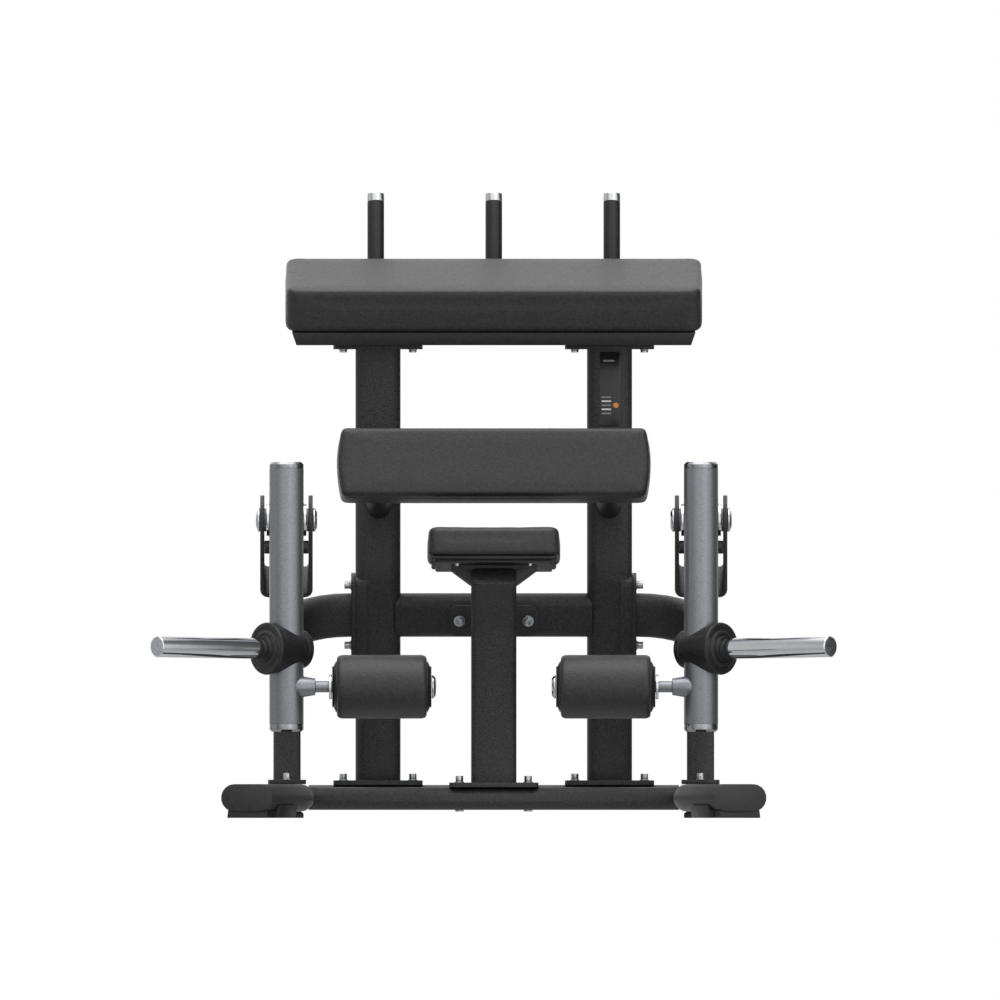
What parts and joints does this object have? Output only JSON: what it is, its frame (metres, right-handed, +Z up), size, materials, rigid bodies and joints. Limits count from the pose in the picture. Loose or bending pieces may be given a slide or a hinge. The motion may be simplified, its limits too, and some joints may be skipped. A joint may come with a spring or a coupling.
{
  "type": "kneeling leg curl machine",
  "caption": "Plate-loaded kneeling leg curl machine: splayed base, raked columns, sloping forearm pad, upright grips, thigh and knee pads, and swinging arms with weight horns and ankle rollers.",
  "frame": {"origin": "on the floor, below the middle of the machine's box", "axes": "+X across the machine to the user's right when facing it from the user's side, +Y away from the user, +Z up"},
  "size_m": [1.5206, 1.1512, 1.3849],
  "materials": {
    "frame_paint": "matte",
    "arm_paint": "satin",
    "chrome": "polished",
    "rubber": "matte",
    "plastic": "matte",
    "vinyl": "matte",
    "board": "matte",
    "label": "satin"
  },
  "bodies": {
    "frame": {"crossbar": "frame_paint", "front_cross_tube": "frame_paint", "rear_cross_tube": "frame_paint", "handle_frame": "frame_paint", "seat_brace": "frame_paint", "seat_post": "frame_paint", "knee_pad": "vinyl", "knee_pad_board": "board", "thigh_pad": "vinyl", "thigh_pad_board": "board", "upper_pad": "vinyl", "upper_pad_board": "board", "info_plate": "label", "middle_grip": "rubber", "middle_grip_cap": "chrome", "left_foot_tube": "frame_paint", "left_foot_cap": "plastic", "left_front_shoe": "rubber", "left_rear_pad": "rubber", "left_column": "frame_paint", "left_side_tube": "frame_paint", "left_side_post": "frame_paint", "left_pivot_bracket": "frame_paint", "left_pivot_axle": "chrome", "left_arm_stop": "rubber", "left_thigh_standoff": "frame_paint", "left_grip": "rubber", "left_grip_cap": "chrome", "right_foot_tube": "frame_paint", "right_foot_cap": "plastic", "right_front_shoe": "rubber", "right_rear_pad": "rubber", "right_column": "frame_paint", "right_side_tube": "frame_paint", "right_side_post": "frame_paint", "right_pivot_bracket": "frame_paint", "right_pivot_axle": "chrome", "right_arm_stop": "rubber", "right_thigh_standoff": "frame_paint", "right_grip": "rubber", "right_grip_cap": "chrome"},
    "left_arm": {"left_arm_tube": "arm_paint", "left_arm_top_cap": "plastic", "left_arm_bottom_cap": "plastic", "left_weight_horn": "chrome", "left_horn_collar": "rubber", "left_roller_axle": "arm_paint", "left_roller_cap": "chrome"},
    "left_roller": {"left_roller_core": "plastic", "left_roller_pad": "vinyl"},
    "right_arm": {"right_arm_tube": "arm_paint", "right_arm_top_cap": "plastic", "right_arm_bottom_cap": "plastic", "right_weight_horn": "chrome", "right_horn_collar": "rubber", "right_roller_axle": "arm_paint", "right_roller_cap": "chrome"},
    "right_roller": {"right_roller_core": "plastic", "right_roller_pad": "vinyl"}
  },
  "joints": [
    {"name": "left_arm_swing", "type": "hinge", "parent": "frame", "child": "left_arm", "pos_m": [-0.4592, -0.145, 0.66], "axis": [-1, 0, 0], "range_deg": [0, 105]},
    {"name": "left_roller_spin", "type": "hinge", "parent": "left_arm", "child": "left_roller", "pos_m": [-0.248, -0.228, 0.2903], "axis": [1, 0, 0], "continuous": true},
    {"name": "right_arm_swing", "type": "hinge", "parent": "frame", "child": "right_arm", "pos_m": [0.4592, -0.145, 0.66], "axis": [-1, 0, 0], "range_deg": [0, 105]},
    {"name": "right_roller_spin", "type": "hinge", "parent": "right_arm", "child": "right_roller", "pos_m": [0.248, -0.228, 0.2903], "axis": [1, 0, 0], "continuous": true}
  ]
}
